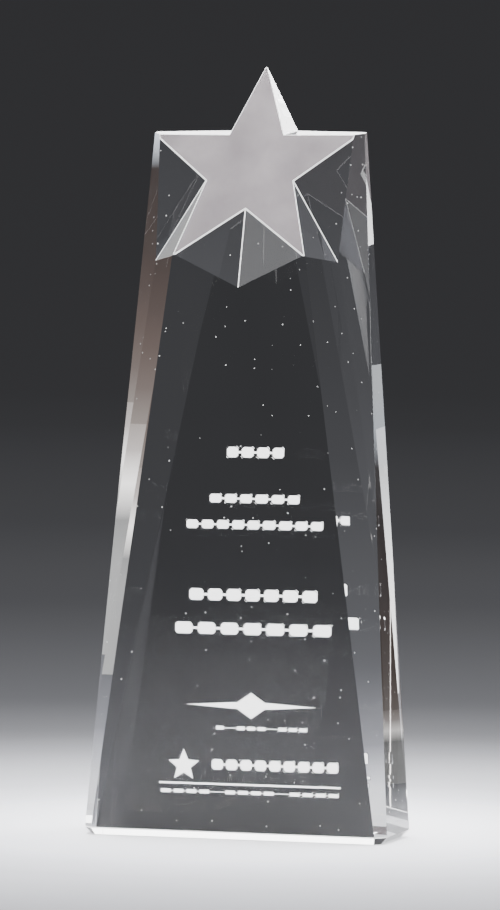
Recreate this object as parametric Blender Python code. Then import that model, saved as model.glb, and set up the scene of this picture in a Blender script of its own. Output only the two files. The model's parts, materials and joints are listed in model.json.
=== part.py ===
"""Star tower trophy: one block of optical crystal, cut and polished in flat facets.

A five-pointed star stands out of the top of a tapered block. Its front face leans back and is
sandblasted, and everything else is polished. The lines and ornaments of the dedication are
sandblasted into the rear face, in shallow pockets, and are read through the block.

Metres, +Z up, front towards -Y. The origin is on the floor under the middle of the base.
"""
import math

import bmesh
import bpy
from mathutils import Vector

MM = 0.001

# The block
HEIGHT = 254.32 * MM            # of the sharp top point; the rear facets trim it to 254 mm
BASE_WIDTH = 103.4 * MM
DEPTH = 33.3 * MM
SHOULDER_WIDTH = 71.8 * MM      # across the arms of the star
SHOULDER_HEIGHT = 232.8 * MM    # rear edge of the tops of the arms
FRONT_LEAN = math.radians(0.38)
BASE_CHAMFER = 2.4 * MM
BEVEL_SETBACK = 3.8 * MM        # how far behind the front face each bevel meets its side, at the base
SHOULDER_FRONT = 8.1 * MM       # depth at which the front bevel meets the side, at the arm's tip
SHOULDER_REAR = 11.2 * MM       # depth at which the rear facet meets the side, at the arm's tip
ARM_TIP_HEIGHT = 231.4 * MM
REAR_APEX_HEIGHT = 249 * MM     # where the two rear side facets meet

# The star, as half of its outline: x and height of each corner on the leaning front face
STAR_LEAN_DEPTH = 32.2 * MM     # the face runs from the rear face at the top point to the front face
STAR_TOP = (0.0, HEIGHT)
STAR_UPPER_NOTCH = (9.3 * MM, 231.1 * MM)
STAR_ARM = (34.8 * MM, 231.2 * MM)
STAR_SIDE_NOTCH = (14.8 * MM, 215.9 * MM)
STAR_FOOT = (22.4 * MM, 191.1 * MM)
STAR_LOWER_NOTCH = (0.0, 206.7 * MM)

# Where the cuts beside and under the star end
SIDE_CUT_END = Vector((31.0 * MM, -5.9 * MM, 189.4 * MM))
KITE_CUT_HEIGHT = 180.8 * MM
UPPER_FACET_END_HEIGHT = 105.0 * MM     # where the upper bevel runs out, on the block's side

ARM_TOP_RISE = 0.15             # the tops of the arms rise towards the rear
SPIKE_REAR_NOTCH = Vector((11.3 * MM, 15.2 * MM, 232.6 * MM))   # where the top point meets the arm

# Sandblasting
FROST_THICKNESS = 0.4 * MM
GAP = 0.3 * MM
POCKET_DEPTH = FROST_THICKNESS + GAP

# The dedication in the rear face. It is plain beaded lines and ornaments, with no lettering.
# name: middle x, middle height, length, height of a bead, number of beads in each word
BEADED_LINES = {
    "etched_date": (0.8 * MM, 126.5 * MM, 19.4 * MM, 3.4 * MM, (4,)),
    "etched_award_upper": (0.6 * MM, 111.4 * MM, 30.4 * MM, 2.8 * MM, (6,)),
    "etched_award_lower": (0.6 * MM, 102.9 * MM, 45.8 * MM, 2.8 * MM, (9,)),
    "etched_name_upper": (0.4 * MM, 80.0 * MM, 43.6 * MM, 3.8 * MM, (7,)),
    "etched_name_lower": (0.4 * MM, 69.0 * MM, 53.2 * MM, 3.8 * MM, (7,)),
    "etched_ornament_caption": (3.6 * MM, 36.6 * MM, 31.0 * MM, 1.2 * MM, (1, 3, 3)),
    "etched_badge_line": (8.1 * MM, 24.6 * MM, 43.0 * MM, 3.4 * MM, (9,)),
    "etched_badge_caption": (-0.3 * MM, 15.6 * MM, 60.0 * MM, 1.2 * MM, (4, 4, 4)),
}
BEAD_SHARE = 0.74               # how much of its pitch a bead fills
STEM_SHARE = 0.2                # height of the stem that joins the beads
BADGE_RULE = (-0.3 * MM, 18.2 * MM, 60.0 * MM, 0.6 * MM)
ORNAMENT_MIDDLE = (0.1 * MM, 44.0 * MM)
ORNAMENT_HALF_LENGTH = 21.5 * MM
ORNAMENT_LOZENGE = (6.0 * MM, 4.2 * MM)       # half length and half height of the lozenge
ORNAMENT_BAR_SHARE = 0.25       # half height of a bar where it leaves the lozenge
ORNAMENT_SHOULDER = 0.75        # where the lozenge's slope meets the bar, along its half length
BADGE_MIDDLE = (-22.2 * MM, 24.0 * MM)
BADGE_RADIUS = 5.2 * MM
BADGE_INNER_SHARE = 0.45        # inner corners of the small star, as a share of its radius
POINT_GROWTH = 1.8              # how much further a pocket's sharp corners stand off than its sides

HUGE = 1.0                      # reach of a cutter, in metres


def point_on_star_face(corner):
    x, z = corner
    slope = STAR_LEAN_DEPTH / (HEIGHT - STAR_FOOT[1])
    return Vector((x, DEPTH / 2 - slope * (HEIGHT - z), z))


def front_face_y(z):
    return -DEPTH / 2 + math.tan(FRONT_LEAN) * z


def half_width(z):
    return (BASE_WIDTH - (BASE_WIDTH - SHOULDER_WIDTH) * z / SHOULDER_HEIGHT) / 2


def mirrored(vector):
    return Vector((-vector.x, vector.y, vector.z))


class Facet:
    """A flat cut through three points. Its normal points away from the given inner point."""

    def __init__(self, a, b, c, inside=Vector((0, 0, 0.1))):
        self.point = a.copy()
        self.normal = (b - a).cross(c - a).normalized()
        if self.normal.dot(inside - a) > 0:
            self.normal.negate()

    def mirror(self):
        twin = Facet.__new__(Facet)
        twin.point = mirrored(self.point)
        twin.normal = mirrored(self.normal)
        return twin

    def y_at(self, x, z):
        """The facet's depth at a place in the front view."""
        across = self.normal.x * (x - self.point.x) + self.normal.z * (z - self.point.z)
        return self.point.y - across / self.normal.y

    def flipped(self):
        twin = Facet.__new__(Facet)
        twin.point = self.point.copy()
        twin.normal = -self.normal
        return twin


def cut_solid(facets, box_low, box_high):
    """What is left of a box behind all the facets, as a bmesh."""
    bm = bmesh.new()
    bmesh.ops.create_cube(bm, size=1.0)
    for vert in bm.verts:
        for axis in range(3):
            vert.co[axis] = box_low[axis] if vert.co[axis] < 0 else box_high[axis]
    for facet in facets:
        geometry = bm.verts[:] + bm.edges[:] + bm.faces[:]
        cut = bmesh.ops.bisect_plane(bm, geom=geometry, dist=1e-7, plane_co=facet.point,
                                     plane_no=facet.normal, clear_outer=True)
        rim = [item for item in cut["geom_cut"] if isinstance(item, bmesh.types.BMEdge)]
        if rim:
            bmesh.ops.holes_fill(bm, edges=rim)
    bmesh.ops.recalc_face_normals(bm, faces=bm.faces[:])
    return bm


def object_from(bm, name, material=None):
    mesh = bpy.data.meshes.new(name)
    bm.to_mesh(mesh)
    bm.free()
    piece = bpy.data.objects.new(name, mesh)
    bpy.context.scene.collection.objects.link(piece)
    if material:
        mesh.materials.append(material)
    return piece


def cutter_from(bm, name):
    cutter = object_from(bm, name)
    cutter.hide_render = True
    cutter.display_type = "WIRE"
    return cutter


def subtract(piece, cutter):
    modifier = piece.modifiers.new("cut by " + cutter.name, "BOOLEAN")
    modifier.operation = "DIFFERENCE"
    modifier.solver = "EXACT"
    modifier.object = cutter


def finish(name, colour, roughness, transmission):
    material = bpy.data.materials.new(name)
    material.use_nodes = True
    shader = material.node_tree.nodes["Principled BSDF"]
    shader.inputs["Base Color"].default_value = (*colour, 1)
    shader.inputs["Roughness"].default_value = roughness
    shader.inputs["Metallic"].default_value = 0.0
    shader.inputs["Transmission Weight"].default_value = transmission
    material.diffuse_color = (*colour, 1)
    return material


def outer_facets():
    """The facets of the convex block that the star is then cut out of."""
    star_foot = point_on_star_face(STAR_FOOT)
    base_front_corner = Vector((half_width(BASE_CHAMFER), -DEPTH / 2 + BEVEL_SETBACK, BASE_CHAMFER))
    shoulder_front = Vector((half_width(SHOULDER_HEIGHT), SHOULDER_FRONT, ARM_TIP_HEIGHT))
    side = Facet(Vector((half_width(0), 0, 0)), Vector((half_width(0), DEPTH, 0)),
                 Vector((half_width(HEIGHT), 0, HEIGHT)))
    front_bevel = Facet(star_foot, SIDE_CUT_END, base_front_corner)
    upper_end = (half_width(UPPER_FACET_END_HEIGHT), UPPER_FACET_END_HEIGHT)
    upper_facet_end = Vector((upper_end[0], front_bevel.y_at(*upper_end), upper_end[1]))
    upper_bevel = Facet(SIDE_CUT_END, shoulder_front, upper_facet_end)
    rear_side = Facet(Vector((0, DEPTH / 2, REAR_APEX_HEIGHT)),
                      Vector((half_width(0), DEPTH / 2, 0)),
                      Vector((half_width(SHOULDER_HEIGHT), SHOULDER_REAR, SHOULDER_HEIGHT)))
    front = Facet(Vector((0, front_face_y(0), 0)), Vector((1, front_face_y(0), 0)),
                  Vector((0, front_face_y(1), 1)))
    pairs = [side, front_bevel, upper_bevel, rear_side]
    return [front] + pairs + [facet.mirror() for facet in pairs]


def star_face():
    return Facet(point_on_star_face(STAR_TOP), point_on_star_face(STAR_FOOT),
                 mirrored(point_on_star_face(STAR_FOOT)))


def wedge_cutter(name, first, second):
    """A big solid in front of both facets, which takes a V-shaped piece out of the block."""
    low = (-HUGE, -HUGE, -HUGE)
    high = (HUGE, HUGE, HUGE)
    return cutter_from(cut_solid([first.flipped(), second.flipped()], low, high), name)


def star_cuts():
    """Cutters for the notches between the points of the star."""
    top = point_on_star_face(STAR_TOP)
    upper_notch = point_on_star_face(STAR_UPPER_NOTCH)
    arm = point_on_star_face(STAR_ARM)
    side_notch = point_on_star_face(STAR_SIDE_NOTCH)
    foot = point_on_star_face(STAR_FOOT)
    lower_notch = point_on_star_face(STAR_LOWER_NOTCH)
    kite_end = Vector((0, front_face_y(KITE_CUT_HEIGHT), KITE_CUT_HEIGHT))
    arm_top_rear = upper_notch + Vector((0, DEPTH, ARM_TOP_RISE * DEPTH))
    inside_star = point_on_star_face(STAR_LOWER_NOTCH) + Vector((0, DEPTH / 4, DEPTH / 4))

    above_arm = (Facet(top, upper_notch, SPIKE_REAR_NOTCH, inside_star),
                 Facet(upper_notch, arm, arm_top_rear, inside_star))
    beside_leg = (Facet(arm, side_notch, SIDE_CUT_END, inside_star),
                  Facet(side_notch, foot, SIDE_CUT_END, inside_star))
    under_star = Facet(lower_notch, foot, kite_end, inside_star)
    wedges = [above_arm, beside_leg]
    wedges += [(first.mirror(), second.mirror()) for first, second in wedges]
    wedges.append((under_star, under_star.mirror()))
    return [wedge_cutter(f"star_cut_{number}", *wedge) for number, wedge in enumerate(wedges)]


def crystal_block(material):
    low = (-BASE_WIDTH, -DEPTH, 0)
    high = (BASE_WIDTH, DEPTH / 2, HEIGHT)
    bm = cut_solid(outer_facets() + [star_face()], low, high)
    foot_edges = [edge for edge in bm.edges if all(vert.co.z < 1e-6 for vert in edge.verts)]
    bmesh.ops.bevel(bm, geom=foot_edges, offset=BASE_CHAMFER, offset_type="OFFSET", segments=1,
                    affect="EDGES", clamp_overlap=False)
    bmesh.ops.remove_doubles(bm, verts=bm.verts[:], dist=1e-6)
    bmesh.ops.recalc_face_normals(bm, faces=bm.faces[:])
    block = object_from(bm, "crystal_block", material)
    for cutter in star_cuts():
        subtract(block, cutter)
    return block


def frosted_star_face(material):
    """The sandblasted skin of the star, a thin plate that lies over the block's leaning face."""
    facet = star_face()
    right = [STAR_UPPER_NOTCH, STAR_ARM, STAR_SIDE_NOTCH, STAR_FOOT]
    left = [(-x, z) for x, z in reversed(right)]
    corners = [STAR_TOP] + right + [STAR_LOWER_NOTCH] + left
    outline = [point_on_star_face(corner) for corner in corners]
    bm = bmesh.new()
    face = bm.faces.new([bm.verts.new(point) for point in outline])
    bm.normal_update()
    bmesh.ops.inset_region(bm, faces=[face], thickness=GAP, use_even_offset=True, use_boundary=True)
    rim = [other for other in bm.faces if other is not face]
    bmesh.ops.delete(bm, geom=rim, context="FACES")
    bmesh.ops.delete(bm, geom=[v for v in bm.verts if not v.link_faces], context="VERTS")
    bmesh.ops.translate(bm, verts=bm.verts[:], vec=facet.normal * GAP)
    thicken(bm, facet.normal * FROST_THICKNESS)
    return object_from(bm, "frosted_star_face", material)


def thicken(bm, direction):
    """Turns a mesh's flat faces into plates."""
    sheet = bm.faces[:]
    grown = bmesh.ops.extrude_face_region(bm, geom=sheet, use_keep_orig=True)
    moved = [item for item in grown["geom"] if isinstance(item, bmesh.types.BMVert)]
    bmesh.ops.translate(bm, verts=moved, vec=direction)
    bmesh.ops.recalc_face_normals(bm, faces=bm.faces[:])


def beaded_outline(line, grow):
    """A row of beads on a thin stem, with one bead left out between words."""
    x, z, length, height, words = line
    pitch = length / (sum(words) + len(words) - 1)
    half_bead = pitch * BEAD_SHARE / 2 + grow
    half_height = height / 2 + grow
    half_stem = height * STEM_SHARE / 2 + grow
    cut_corner = (half_height - half_stem) / 2
    upper = []
    middle = x - (length - pitch) / 2
    for word in words:
        for _ in range(word):
            upper += [(middle - half_bead, half_stem), (middle - half_bead, half_height - cut_corner),
                      (middle - half_bead + cut_corner, half_height),
                      (middle + half_bead - cut_corner, half_height),
                      (middle + half_bead, half_height - cut_corner), (middle + half_bead, half_stem)]
            middle += pitch
        middle += pitch
    lower = [(px, -pz) for px, pz in reversed(upper)]
    return [(px, z + pz) for px, pz in upper[1:-1] + lower[1:-1]]


def bar_outline(x, z, length, height, grow):
    half_length = length / 2 + grow
    half_height = height / 2 + grow
    return [(x + side * half_length, z + end * half_height)
            for side, end in ((1, 1), (-1, 1), (-1, -1), (1, -1))]


def ornament_outline(grow):
    """A lozenge between two bars that taper to a point."""
    x, z = ORNAMENT_MIDDLE
    half_length, half_height = ORNAMENT_LOZENGE
    half_bar = half_height * ORNAMENT_BAR_SHARE + grow
    top = (0, half_height + POINT_GROWTH * grow)
    tip = (ORNAMENT_HALF_LENGTH + 3 * POINT_GROWTH * grow, 0)
    quarter = [(half_length * ORNAMENT_SHOULDER, half_bar), (half_length, half_bar)]
    right = [top] + quarter + [tip] + [(px, -pz) for px, pz in reversed(quarter)]
    left = [(-px, -pz) for px, pz in right]
    return [(x + px, z + pz) for px, pz in right + left]


def badge_outline(grow):
    """A small regular five-pointed star."""
    x, z = BADGE_MIDDLE
    outline = []
    for corner in range(10):
        share = 1 if corner % 2 == 0 else BADGE_INNER_SHARE
        radius = BADGE_RADIUS * share + POINT_GROWTH * grow
        angle = math.pi / 2 + corner * math.pi / 5
        outline.append((x + radius * math.cos(angle), z + radius * math.sin(angle)))
    return outline


def mark_outlines(grow=0.0):
    """Every mark's outline on the rear face, by node name."""
    marks = {name: beaded_outline(line, grow) for name, line in BEADED_LINES.items()}
    marks["etched_badge_rule"] = bar_outline(*BADGE_RULE, grow)
    marks["etched_ornament"] = ornament_outline(grow)
    marks["etched_badge"] = badge_outline(grow)
    return marks


def plates(outlines, from_y, to_y):
    bm = bmesh.new()
    for outline in outlines:
        bm.faces.new([bm.verts.new((x, from_y, z)) for x, z in outline])
    thicken(bm, Vector((0, to_y - from_y, 0)))
    return bm


def etched_marks(material):
    rear = DEPTH / 2
    for name, outline in mark_outlines().items():
        object_from(plates([outline], rear - FROST_THICKNESS, rear), name, material)


def mark_pockets():
    rear = DEPTH / 2
    outlines = mark_outlines(GAP).values()
    return cutter_from(plates(outlines, rear - POCKET_DEPTH, rear + POCKET_DEPTH), "mark_pockets")


def main():
    for old in list(bpy.data.objects):
        bpy.data.objects.remove(old)
    crystal = finish("optical crystal", (0.94, 0.96, 0.97), 0.02, 1.0)
    frost = finish("sandblasted crystal", (0.86, 0.84, 0.85), 0.6, 0.4)
    block = crystal_block(crystal)
    subtract(block, mark_pockets())
    frosted_star_face(frost)
    etched_marks(frost)


main()
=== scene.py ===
import json
import math

import bmesh
import bpy
from mathutils import Matrix, Vector

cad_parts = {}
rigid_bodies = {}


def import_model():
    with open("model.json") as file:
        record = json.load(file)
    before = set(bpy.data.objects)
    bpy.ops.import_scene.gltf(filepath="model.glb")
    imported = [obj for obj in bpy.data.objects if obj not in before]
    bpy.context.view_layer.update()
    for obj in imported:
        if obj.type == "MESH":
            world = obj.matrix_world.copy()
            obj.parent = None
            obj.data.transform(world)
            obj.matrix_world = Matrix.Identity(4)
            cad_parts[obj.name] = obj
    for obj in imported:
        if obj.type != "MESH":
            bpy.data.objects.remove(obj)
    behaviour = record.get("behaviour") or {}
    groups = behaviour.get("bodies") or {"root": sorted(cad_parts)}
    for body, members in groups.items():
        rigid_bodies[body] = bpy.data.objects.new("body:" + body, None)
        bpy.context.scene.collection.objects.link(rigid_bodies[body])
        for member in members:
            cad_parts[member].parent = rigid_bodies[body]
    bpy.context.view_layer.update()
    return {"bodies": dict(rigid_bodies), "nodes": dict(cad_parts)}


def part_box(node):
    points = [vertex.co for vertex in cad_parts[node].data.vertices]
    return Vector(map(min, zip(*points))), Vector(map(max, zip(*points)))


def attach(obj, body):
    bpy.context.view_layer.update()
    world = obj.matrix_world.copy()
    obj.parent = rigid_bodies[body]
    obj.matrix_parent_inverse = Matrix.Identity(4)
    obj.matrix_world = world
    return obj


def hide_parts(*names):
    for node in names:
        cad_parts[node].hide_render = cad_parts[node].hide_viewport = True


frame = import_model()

root_body = next(iter(frame["bodies"]))

# --- The crystal block -------------------------------------------------------------------------
# One block of optical crystal, sawn to a tapered tower and then ground and polished in flat
# facets, with the star cut out of its top. Every edge keeps a hair-fine ground arris.
EDGE_ARRIS = 0.00022
STAR_EDGE = 0.00045
VALLEYS_ABOVE = 0.17
CRYSTAL_TINT = (0.985, 0.990, 0.992, 1)
CRYSTAL_IOR = 1.52
SHARP_EDGE = math.radians(8)
COPLANAR = math.radians(0.3)
WELD_DISTANCE = 1e-6
POCKET_REACH = 0.0004       # a pocket's floor and walls lie less than this from its mark
SAME_FACING = 0.9995        # cosine between two normals that count as one direction
ABOVE_TABLE = 0.001
LEVEL_WITHIN = 0.0002
HIGHLIT_EDGE_SLOT = 2
SPECK_RARITY = 0.72
SMEAR_SCALE = 35


def dust_glints_and_polish_group():
    """Tiny specks of dust drawn as painted glints that glow white, and the faint unevenness that hand
    polishing leaves.
    """
    group = bpy.data.node_groups.new("dust_glints_and_polish_marks", "ShaderNodeTree")
    sockets = group.interface
    sockets.new_socket("Speck Scale", in_out="INPUT", socket_type="NodeSocketFloat")
    sockets.new_socket("Speck Size", in_out="INPUT", socket_type="NodeSocketFloat")
    sockets.new_socket("Polish Roughness", in_out="INPUT", socket_type="NodeSocketFloat")
    sockets.new_socket("Dust Speck Glint", in_out="OUTPUT", socket_type="NodeSocketColor")
    sockets.new_socket("Roughness", in_out="OUTPUT", socket_type="NodeSocketFloat")
    nodes = group.nodes
    links = group.links
    given = nodes.new("NodeGroupInput")
    out = nodes.new("NodeGroupOutput")
    place = nodes.new("ShaderNodeTexCoord")
    cells = nodes.new("ShaderNodeTexVoronoi")
    links.new(place.outputs["Object"], cells.inputs["Vector"])
    links.new(given.outputs["Speck Scale"], cells.inputs["Scale"])
    speck = nodes.new("ShaderNodeMath")
    speck.operation = "LESS_THAN"
    links.new(cells.outputs["Distance"], speck.inputs[0])
    links.new(given.outputs["Speck Size"], speck.inputs[1])
    chance = nodes.new("ShaderNodeSeparateColor")
    links.new(cells.outputs["Color"], chance.inputs["Color"])
    picked = nodes.new("ShaderNodeMath")
    picked.operation = "GREATER_THAN"
    picked.inputs[1].default_value = SPECK_RARITY
    links.new(chance.outputs["Red"], picked.inputs[0])
    mask = nodes.new("ShaderNodeMath")
    mask.operation = "MULTIPLY"
    links.new(speck.outputs[0], mask.inputs[0])
    links.new(picked.outputs[0], mask.inputs[1])
    colour = nodes.new("ShaderNodeMix")
    colour.data_type = "RGBA"
    colour.inputs[6].default_value = (0, 0, 0, 1)
    colour.inputs[7].default_value = (1, 1, 1, 1)
    links.new(mask.outputs[0], colour.inputs[0])
    links.new(colour.outputs[2], out.inputs["Dust Speck Glint"])
    smears = nodes.new("ShaderNodeTexNoise")
    smears.inputs["Scale"].default_value = SMEAR_SCALE
    links.new(place.outputs["Object"], smears.inputs["Vector"])
    haze = nodes.new("ShaderNodeMath")
    haze.operation = "MULTIPLY"
    links.new(smears.outputs["Fac"], haze.inputs[0])
    links.new(given.outputs["Polish Roughness"], haze.inputs[1])
    rough = nodes.new("ShaderNodeMath")
    rough.operation = "MAXIMUM"
    links.new(haze.outputs[0], rough.inputs[0])
    links.new(mask.outputs[0], rough.inputs[1])
    links.new(rough.outputs[0], out.inputs["Roughness"])
    return group


def polished_crystal():
    material = bpy.data.materials.new("polished_crystal")
    material.use_nodes = True
    nodes = material.node_tree.nodes
    links = material.node_tree.links
    shader = nodes["Principled BSDF"]
    shader.inputs["Base Color"].default_value = CRYSTAL_TINT
    shader.inputs["IOR"].default_value = CRYSTAL_IOR
    shader.inputs["Transmission Weight"].default_value = 1.0
    # The dust specks are painted glints: they glow white at this strength.
    shader.inputs["Emission Strength"].default_value = 0.35
    marks = nodes.new("ShaderNodeGroup")
    marks.node_tree = dust_glints_and_polish_group()
    marks.inputs["Speck Scale"].default_value = 330
    marks.inputs["Speck Size"].default_value = 0.075
    marks.inputs["Polish Roughness"].default_value = 0.012
    links.new(marks.outputs["Roughness"], shader.inputs["Roughness"])
    links.new(marks.outputs["Dust Speck Glint"], shader.inputs["Emission Color"])
    return material


crystal_node = frame["nodes"]["crystal_block"]
star_low, star_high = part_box("frosted_star_face")
mark_boxes = [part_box(name) for name in frame["nodes"] if name.startswith("etched_")]
pocket_floor = min(low[1] for low, high in mark_boxes) - POCKET_REACH
marks_half_width = max(max(-low[0], high[0]) for low, high in mark_boxes) + POCKET_REACH
marks_bottom = min(low[2] for low, high in mark_boxes) - POCKET_REACH
marks_top = max(high[2] for low, high in mark_boxes) + POCKET_REACH

facets = bmesh.new()
facets.from_mesh(crystal_node.data)
bmesh.ops.remove_doubles(facets, verts=facets.verts[:], dist=WELD_DISTANCE)
bmesh.ops.dissolve_limit(facets, angle_limit=COPLANAR, verts=facets.verts[:], edges=facets.edges[:])


def in_a_pocket(vert):
    among_marks = abs(vert.co.x) < marks_half_width and marks_bottom < vert.co.z < marks_top
    return among_marks and vert.co.y > pocket_floor


star_lean = Vector((0, star_low[2] - star_high[2], star_high[1] - star_low[1])).normalized()


def on_star_face(face):
    return face.normal.dot(star_lean) > SAME_FACING


facets.normal_update()
foot_chamfer = min(vert.co.z for vert in facets.verts if vert.co.z > ABOVE_TABLE)
arris = facets.edges.layers.float.new("bevel_weight_edge")
star_arris = facets.edges.layers.float.new("star_arris")
for edge in facets.edges:
    pocket_edge = all(in_a_pocket(vert) for vert in edge.verts)
    if len(edge.link_faces) == 2 and not pocket_edge and edge.calc_face_angle() > SHARP_EDGE:
        star_rim = any(on_star_face(face) for face in edge.link_faces)
        valley = not edge.is_convex and min(vert.co.z for vert in edge.verts) > VALLEYS_ABOVE
        foot_line = all(abs(vert.co.z - foot_chamfer) < LEVEL_WITHIN and vert.co.y < 0
                        for vert in edge.verts)
        # The star's rim, the upper valleys and the front foot line take the wider ground edge, whose
        # material glows as a painted highlight.
        if star_rim or valley or foot_line:
            edge[star_arris] = 1.0
        else:
            edge[arris] = 1.0

block_mesh = bpy.data.meshes.new("crystal_block_cut")
facets.to_mesh(block_mesh)
facets.free()
block = bpy.data.objects.new("crystal_block_cut", block_mesh)
bpy.context.scene.collection.objects.link(block)
block_mesh.materials.append(polished_crystal())
star_edge = block.modifiers.new("star's ground edge", "BEVEL")
star_edge.limit_method = "WEIGHT"
star_edge.edge_weight = "star_arris"
star_edge.width = STAR_EDGE
star_edge.segments = 1
# The bevel's faces take the ground edge's material, a painted highlight.
star_edge.material = HIGHLIT_EDGE_SLOT
rounding = block.modifiers.new("ground arris", "BEVEL")
rounding.limit_method = "WEIGHT"
rounding.width = EDGE_ARRIS
rounding.segments = 2
rounding.use_clamp_overlap = True

# --- The frosted star --------------------------------------------------------------------------
# The star's leaning front face is masked and sandblasted to an even satin, with a faint painted glow of
# its own added. It is the block's own surface, so its light, painted glow included, glows in the
# polished walls behind it.
FROST_COLOUR = (0.12, 0.102, 0.112, 1)
FROST_PALE = (0.27, 0.240, 0.256, 1)
FROST_SLOT = 1


def sandblast_group():
    """Fine grain with soft cloudy patches, as blasting with grit leaves."""
    group = bpy.data.node_groups.new("sandblasted_grain", "ShaderNodeTree")
    sockets = group.interface
    sockets.new_socket("Colour", in_out="INPUT", socket_type="NodeSocketColor")
    sockets.new_socket("Pale Colour", in_out="INPUT", socket_type="NodeSocketColor")
    sockets.new_socket("Grain Scale", in_out="INPUT", socket_type="NodeSocketFloat")
    sockets.new_socket("Cloud Scale", in_out="INPUT", socket_type="NodeSocketFloat")
    sockets.new_socket("Low Roughness", in_out="INPUT", socket_type="NodeSocketFloat")
    sockets.new_socket("High Roughness", in_out="INPUT", socket_type="NodeSocketFloat")
    sockets.new_socket("Colour", in_out="OUTPUT", socket_type="NodeSocketColor")
    sockets.new_socket("Roughness", in_out="OUTPUT", socket_type="NodeSocketFloat")
    sockets.new_socket("Grain", in_out="OUTPUT", socket_type="NodeSocketFloat")
    nodes = group.nodes
    links = group.links
    given = nodes.new("NodeGroupInput")
    out = nodes.new("NodeGroupOutput")
    place = nodes.new("ShaderNodeTexCoord")
    grain = nodes.new("ShaderNodeTexNoise")
    grain.inputs["Detail"].default_value = 3
    links.new(place.outputs["Object"], grain.inputs["Vector"])
    links.new(given.outputs["Grain Scale"], grain.inputs["Scale"])
    clouds = nodes.new("ShaderNodeTexNoise")
    clouds.inputs["Detail"].default_value = 4
    links.new(place.outputs["Object"], clouds.inputs["Vector"])
    links.new(given.outputs["Cloud Scale"], clouds.inputs["Scale"])
    cloudy = nodes.new("ShaderNodeMapRange")
    cloudy.inputs["From Min"].default_value = 0.35
    cloudy.inputs["From Max"].default_value = 0.7
    links.new(clouds.outputs["Fac"], cloudy.inputs["Value"])
    colour = nodes.new("ShaderNodeMix")
    colour.data_type = "RGBA"
    links.new(cloudy.outputs["Result"], colour.inputs[0])
    links.new(given.outputs["Colour"], colour.inputs[6])
    links.new(given.outputs["Pale Colour"], colour.inputs[7])
    links.new(colour.outputs[2], out.inputs["Colour"])
    rough = nodes.new("ShaderNodeMapRange")
    links.new(grain.outputs["Fac"], rough.inputs["Value"])
    links.new(given.outputs["Low Roughness"], rough.inputs["To Min"])
    links.new(given.outputs["High Roughness"], rough.inputs["To Max"])
    links.new(rough.outputs["Result"], out.inputs["Roughness"])
    links.new(grain.outputs["Fac"], out.inputs["Grain"])
    return group


sandblasted_grain = sandblast_group()


def sandblasted(name, colour, pale, transmission, bump):
    material = bpy.data.materials.new(name)
    material.use_nodes = True
    nodes = material.node_tree.nodes
    links = material.node_tree.links
    shader = nodes["Principled BSDF"]
    shader.inputs["IOR"].default_value = CRYSTAL_IOR
    shader.inputs["Transmission Weight"].default_value = transmission
    blast = nodes.new("ShaderNodeGroup")
    blast.node_tree = sandblasted_grain
    blast.inputs["Colour"].default_value = colour
    blast.inputs["Pale Colour"].default_value = pale
    blast.inputs["Grain Scale"].default_value = 2600
    blast.inputs["Cloud Scale"].default_value = 45
    blast.inputs["Low Roughness"].default_value = 0.5
    blast.inputs["High Roughness"].default_value = 0.75
    links.new(blast.outputs["Colour"], shader.inputs["Base Color"])
    links.new(blast.outputs["Roughness"], shader.inputs["Roughness"])
    relief = nodes.new("ShaderNodeBump")
    relief.inputs["Strength"].default_value = bump
    relief.inputs["Distance"].default_value = 0.00005
    links.new(blast.outputs["Grain"], relief.inputs["Height"])
    links.new(relief.outputs["Normal"], shader.inputs["Normal"])
    return material


frosted = sandblasted("frosted_crystal", FROST_COLOUR, FROST_PALE, 0.12, 0.5)
# The frosted face glows faintly of its own: a painted glow that stands in for the light it scatters
# inwards.
frosted.node_tree.nodes["Principled BSDF"].inputs["Emission Color"].default_value = (1.0, 0.90, 0.94, 1)
frosted.node_tree.nodes["Principled BSDF"].inputs["Emission Strength"].default_value = 0.14
block_mesh.materials.append(frosted)
for polygon in block_mesh.polygons:
    if on_star_face(polygon):
        polygon.material_index = FROST_SLOT

# The star's edges are ground a little wider, and their bright satin line is a painted highlight: the
# ground edge glows white of its own.
ground_edge_with_highlight = sandblasted("ground_star_edge_painted_highlight", (0.95, 0.95, 0.96, 1), (1, 1, 1, 1), 0.6, 0.3)
ground_edge_with_highlight.node_tree.nodes["Principled BSDF"].inputs["Emission Color"].default_value = (1, 1, 1, 1)
ground_edge_with_highlight.node_tree.nodes["Principled BSDF"].inputs["Emission Strength"].default_value = 1.6
block_mesh.materials.append(ground_edge_with_highlight)

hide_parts("crystal_block", "frosted_star_face")
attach(block, root_body)

# --- The etched dedication ---------------------------------------------------------------------
# The lines, the ornament and the badge are sandblasted deep into the rear face through a cut mask. They
# are matt white with a strong painted glow of their own, and are read through the thickness of the
# block.
ETCH_COLOUR = (0.90, 0.90, 0.90, 1)
ETCH_PALE = (0.97, 0.97, 0.97, 1)

etched = sandblasted("etched_crystal", ETCH_COLOUR, ETCH_PALE, 0.0, 0.8)
# The etching glows white of its own: a painted glow that keeps it bright seen through the block.
etched.node_tree.nodes["Principled BSDF"].inputs["Emission Color"].default_value = (1, 1, 1, 1)
etched.node_tree.nodes["Principled BSDF"].inputs["Emission Strength"].default_value = 3.2
for name, node in frame["nodes"].items():
    if name.startswith("etched_"):
        for material_slot in node.material_slots:
            material_slot.material = etched

# --- The table and backdrop --------------------------------------------------------------------
# A seamless sheet of matt paper lies under the trophy and curves up all round. Its colour carries a
# painted pool of light: pale where the trophy stands, falling off to dark grey.
FLAT_RADIUS = 6.0
SWEEP_RADIUS = 8.5
SWEEP_HEIGHT = 5.0
SWEEP_SECTORS = 96
CURVE_STEPS = 12
SWEEP_WELD = 1e-5
PAPER_CENTRE = (0, 0.03, 0)

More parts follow.
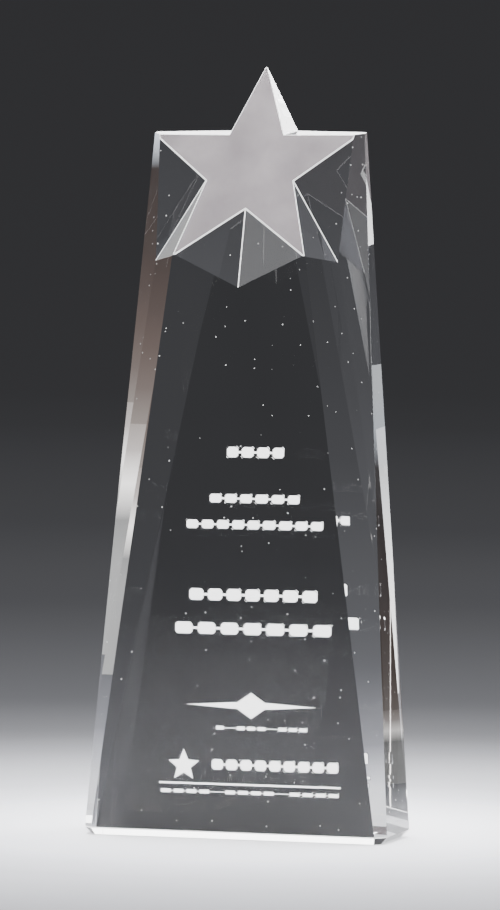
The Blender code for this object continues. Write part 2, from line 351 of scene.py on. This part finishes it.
sweep_profile = [(0.0, 0.0), (0.4, 0.0), (0.8, 0.0), (1.4, 0.0), (FLAT_RADIUS, 0.0)]
for step in range(1, CURVE_STEPS + 1):
    turn = step / CURVE_STEPS * math.pi / 2
    sweep_profile.append((FLAT_RADIUS + (SWEEP_RADIUS - FLAT_RADIUS) * math.sin(turn),
                          SWEEP_HEIGHT * (1 - math.cos(turn))))
sweep = bmesh.new()
profile_verts = [sweep.verts.new((radius, 0, height)) for radius, height in sweep_profile]
profile_edges = [sweep.edges.new(pair) for pair in zip(profile_verts, profile_verts[1:])]
bmesh.ops.spin(sweep, geom=profile_verts + profile_edges, axis=(0, 0, 1), cent=(0, 0, 0),
               steps=SWEEP_SECTORS, angle=2 * math.pi)
bmesh.ops.remove_doubles(sweep, verts=sweep.verts[:], dist=SWEEP_WELD)
bmesh.ops.recalc_face_normals(sweep, faces=sweep.faces[:])
for face in sweep.faces:
    face.smooth = True
sweep_mesh = bpy.data.meshes.new("sweep")
sweep.to_mesh(sweep_mesh)
sweep.free()
backdrop = bpy.data.objects.new("sweep", sweep_mesh)
bpy.context.scene.collection.objects.link(backdrop)

sweep_paint = bpy.data.materials.new("paper_with_painted_light_pool")
sweep_paint.use_nodes = True
paint_nodes = sweep_paint.node_tree.nodes
paint_links = sweep_paint.node_tree.links
paint_nodes["Principled BSDF"].inputs["Roughness"].default_value = 0.7
paint_nodes["Principled BSDF"].inputs["Specular IOR Level"].default_value = 0.0
paper_place = paint_nodes.new("ShaderNodeTexCoord")
paper_middle = paint_nodes.new("ShaderNodeVectorMath")
paper_middle.operation = "SUBTRACT"
paper_middle.inputs[1].default_value = PAPER_CENTRE
paint_links.new(paper_place.outputs["Object"], paper_middle.inputs[0])
paper_reach = paint_nodes.new("ShaderNodeVectorMath")
paper_reach.operation = "LENGTH"
paint_links.new(paper_middle.outputs["Vector"], paper_reach.inputs[0])
paper_share = paint_nodes.new("ShaderNodeMath")
paper_share.operation = "DIVIDE"
paper_share.inputs[1].default_value = SWEEP_RADIUS
paint_links.new(paper_reach.outputs["Value"], paper_share.inputs[0])


def grade(ramp, first, stops, last, tint):
    """Set a ramp over the sweep's reach: its two ends, and tinted (reach, tone) stops between."""
    tones = ramp.elements
    tones[0].position = first[0] / SWEEP_RADIUS
    tones[0].color = (*first[1], 1)
    tones[1].position = 1.0
    tones[1].color = (*last, 1)
    for reach, tone in stops:
        tones.new(reach / SWEEP_RADIUS).color = (*(tone * part for part in tint), 1)


# The paper's colour is a painted pool of light: pale by the foot, falling off to dark grey.
PAINTED_LIGHT_POOL_TONES = ((0.08, 0.66), (0.12, 0.46), (0.20, 0.30), (0.30, 0.14), (0.38, 0.06), (0.55, 0.022),
               (1.3, 0.010))
painted_light_pool_ramp = paint_nodes.new("ShaderNodeValToRGB")
painted_light_pool_ramp.color_ramp.interpolation = "LINEAR"
grade(painted_light_pool_ramp.color_ramp, (0.0, (0.80, 0.80, 0.81)), PAINTED_LIGHT_POOL_TONES, (0.015, 0.015, 0.016),
      (0.97, 0.98, 1.05))
paint_links.new(paper_share.outputs[0], painted_light_pool_ramp.inputs["Fac"])
# The paper is drawn duller where crystal is looked through, in place of the shade that the block
# throws on it.
shade_ray = paint_nodes.new("ShaderNodeLightPath")
shade = paint_nodes.new("ShaderNodeMix")
shade.data_type = "RGBA"
shade.blend_type = "MULTIPLY"
shade.inputs[7].default_value = (0.20, 0.20, 0.21, 1)
paint_links.new(shade_ray.outputs["Is Transmission Ray"], shade.inputs[0])
paint_links.new(painted_light_pool_ramp.outputs["Color"], shade.inputs[6])
paint_links.new(shade.outputs[2], paint_nodes["Principled BSDF"].inputs["Base Color"])
# The paper also has a low glow of its own, strongest by the foot, as if a lamp under the table
# washed it from below.
PAPER_GLOW = ((0.11, 0.50), (0.17, 0.13), (0.50, 0.118), (0.82, 0.098), (1.23, 0.073), (1.8, 0.064),
              (2.5, 0.059), (4.5, 0.042))
glow_ramp = paint_nodes.new("ShaderNodeValToRGB")
grade(glow_ramp.color_ramp, (0.06, (0.9, 0.9, 0.92)), PAPER_GLOW, (0.030, 0.030, 0.032),
      (0.97, 0.98, 1.06))
paint_links.new(paper_share.outputs[0], glow_ramp.inputs["Fac"])
paint_links.new(glow_ramp.outputs["Color"], paint_nodes["Principled BSDF"].inputs["Emission Color"])
paint_nodes["Principled BSDF"].inputs["Emission Strength"].default_value = 1.0
sweep_mesh.materials.append(sweep_paint)

# --- Light and camera --------------------------------------------------------------------------
# Soft boxes stand overhead, in front, behind and at both sides, and glowing cards lie about the
# block. The camera has a long lens and stands a little to the right.
LOOK_AT = Vector((0, 0, 0.13))


def soft_box(name, place, width, height, power, colour=(1, 1, 1), spread=180):
    light = bpy.data.lights.new(name, "AREA")
    light.shape = "RECTANGLE"
    light.size = width
    light.size_y = height
    light.energy = power
    light.color = colour
    light.spread = math.radians(spread)
    lamp = bpy.data.objects.new(name, light)
    lamp.location = place
    lamp.rotation_euler = (LOOK_AT - Vector(place)).to_track_quat("-Z", "Y").to_euler()
    lamp.visible_camera = False
    bpy.context.scene.collection.objects.link(lamp)


soft_box("key_box", (-0.7, -1.5, 1.1), 0.9, 0.9, 6)
soft_box("top_box", (0.0, 0.1, 1.3), 0.7, 0.7, 17, spread=80)
soft_box("back_box", (0.1, 1.75, 0.8), 1.8, 0.5, 22)
soft_box("back_right_box", (0.8, 1.22, 0.95), 0.35, 0.35, 13)
soft_box("rear_top_box", (-0.25, 0.85, 1.0), 0.6, 0.3, 7)
soft_box("right_box", (1.3, 0.5, 0.45), 0.25, 0.9, 3, (0.93, 0.96, 1.0))
soft_box("left_box", (-1.3, 0.3, 0.45), 0.25, 0.9, 3, (1.0, 0.95, 0.92))

# The reflectors are hidden from the camera. The warm card and the sheet in front of it show in the
# left bevel, and the sheets on the left show in the right bevel and side.
SHEET_LIFT = 0.002
WARM_CARD_HEIGHT = 0.17


def lying(*corners):
    """Corners of a sheet that lies on the table."""
    return [(x, y, SHEET_LIFT) for x, y in corners]


def standing(left, right, height):
    """Corners of a card that stands on the table."""
    return [(*left, 0.0), (*right, 0.0), (*right, height), (*left, height)]


def reflector(name, corners, axis, start, end, tones):
    """A glowing card whose colour changes along one axis, from start to end."""
    mesh = bpy.data.meshes.new(name)
    mesh.from_pydata(corners, [], [(0, 1, 2, 3)])
    card = bpy.data.objects.new(name, mesh)
    bpy.context.scene.collection.objects.link(card)
    card.visible_camera = False
    card.visible_diffuse = False
    card.visible_shadow = False
    paint = bpy.data.materials.new(name)
    paint.use_nodes = True
    nodes = paint.node_tree.nodes
    links = paint.node_tree.links
    place = nodes.new("ShaderNodeTexCoord")
    along = nodes.new("ShaderNodeSeparateXYZ")
    links.new(place.outputs["Object"], along.inputs[0])
    share = nodes.new("ShaderNodeMapRange")
    share.inputs["From Min"].default_value = start
    share.inputs["From Max"].default_value = end
    links.new(along.outputs[axis], share.inputs["Value"])
    ramp = nodes.new("ShaderNodeValToRGB")
    stops = ramp.color_ramp.elements
    stops[0].color = (*tones[0], 1)
    stops[1].color = (*tones[-1], 1)
    for number, tone in enumerate(tones[1:-1], 1):
        stops.new(number / (len(tones) - 1)).color = (*tone, 1)
    links.new(share.outputs["Result"], ramp.inputs["Fac"])
    shader = nodes["Principled BSDF"]
    shader.inputs["Base Color"].default_value = (0, 0, 0, 1)
    shader.inputs["Emission Strength"].default_value = 3.0
    links.new(ramp.outputs["Color"], shader.inputs["Emission Color"])
    mesh.materials.append(paint)


WARM_CARD_TONES = [(0.16, 0.14, 0.13), (0.085, 0.068, 0.062), (0.057, 0.042, 0.037),
                   (0.038, 0.027, 0.024), (0.027, 0.019, 0.0165), (0.021, 0.0145, 0.0125),
                   (0.018, 0.0125, 0.011), (0.55, 0.60, 0.66), (0.6, 0.63, 0.66)]
reflector("warm_card", standing((0.17, 0.93), (0.60, 0.83), WARM_CARD_HEIGHT),
          "Z", 0.0, 0.16, WARM_CARD_TONES)
BEFORE_CARD_TONES = [(0.07, 0.07, 0.07), (0.07, 0.07, 0.07), (0.08, 0.08, 0.08), (0.07, 0.07, 0.07),
                     (0.85, 0.82, 0.80), (0.30, 0.27, 0.26), (0.16, 0.14, 0.13)]
reflector("sheet_before_card", lying((0.04, 0.30), (0.30, 0.26), (0.60, 0.83), (0.17, 0.93)),
          "Y", 0.30, 0.90, BEFORE_CARD_TONES)
reflector("left_sheet", lying((-0.62, -0.16), (-0.17, -0.12), (-0.17, 0.10), (-0.62, 0.26)),
          "X", -0.62, -0.17, [(0.25, 0.25, 0.26), (0.6, 0.61, 0.63), (1.0, 1.0, 1.0), (1.0, 1.0, 1.0)])
reflector("far_left_sheet", lying((-1.10, 0.14), (-0.63, 0.08), (-0.63, 0.25), (-1.10, 0.44)),
          "X", -1.10, -0.63, [(0.5, 0.5, 0.5), (0.5, 0.5, 0.5), (0.3, 0.31, 0.32)])

world = bpy.data.worlds.new("dim_room")
world.use_nodes = True
world.node_tree.nodes["Background"].inputs["Color"].default_value = (0.12, 0.12, 0.125, 1)
bpy.context.scene.world = world

CAMERA_PLACE = (0.5263, -1.848, 0.1925)
CAMERA_TURN = math.radians(15.89)
CAMERA_DIP = math.radians(1.993)
CAMERA_ROLL = math.radians(0.579)
FOCAL_LENGTH = 230.97
SENSOR_HEIGHT = 36
FAR_CLIP = 20

lens = bpy.data.cameras.new("long_lens")
lens.sensor_fit = "VERTICAL"
lens.sensor_height = SENSOR_HEIGHT
lens.lens = FOCAL_LENGTH
lens.clip_end = FAR_CLIP
camera = bpy.data.objects.new("long_lens", lens)
camera.matrix_world = (Matrix.Translation(CAMERA_PLACE)
                       @ Matrix.Rotation(CAMERA_TURN, 4, "Z")
                       @ Matrix.Rotation(math.pi / 2 - CAMERA_DIP, 4, "X")
                       @ Matrix.Rotation(CAMERA_ROLL, 4, "Z"))
bpy.context.scene.collection.objects.link(camera)
bpy.context.scene.camera = camera
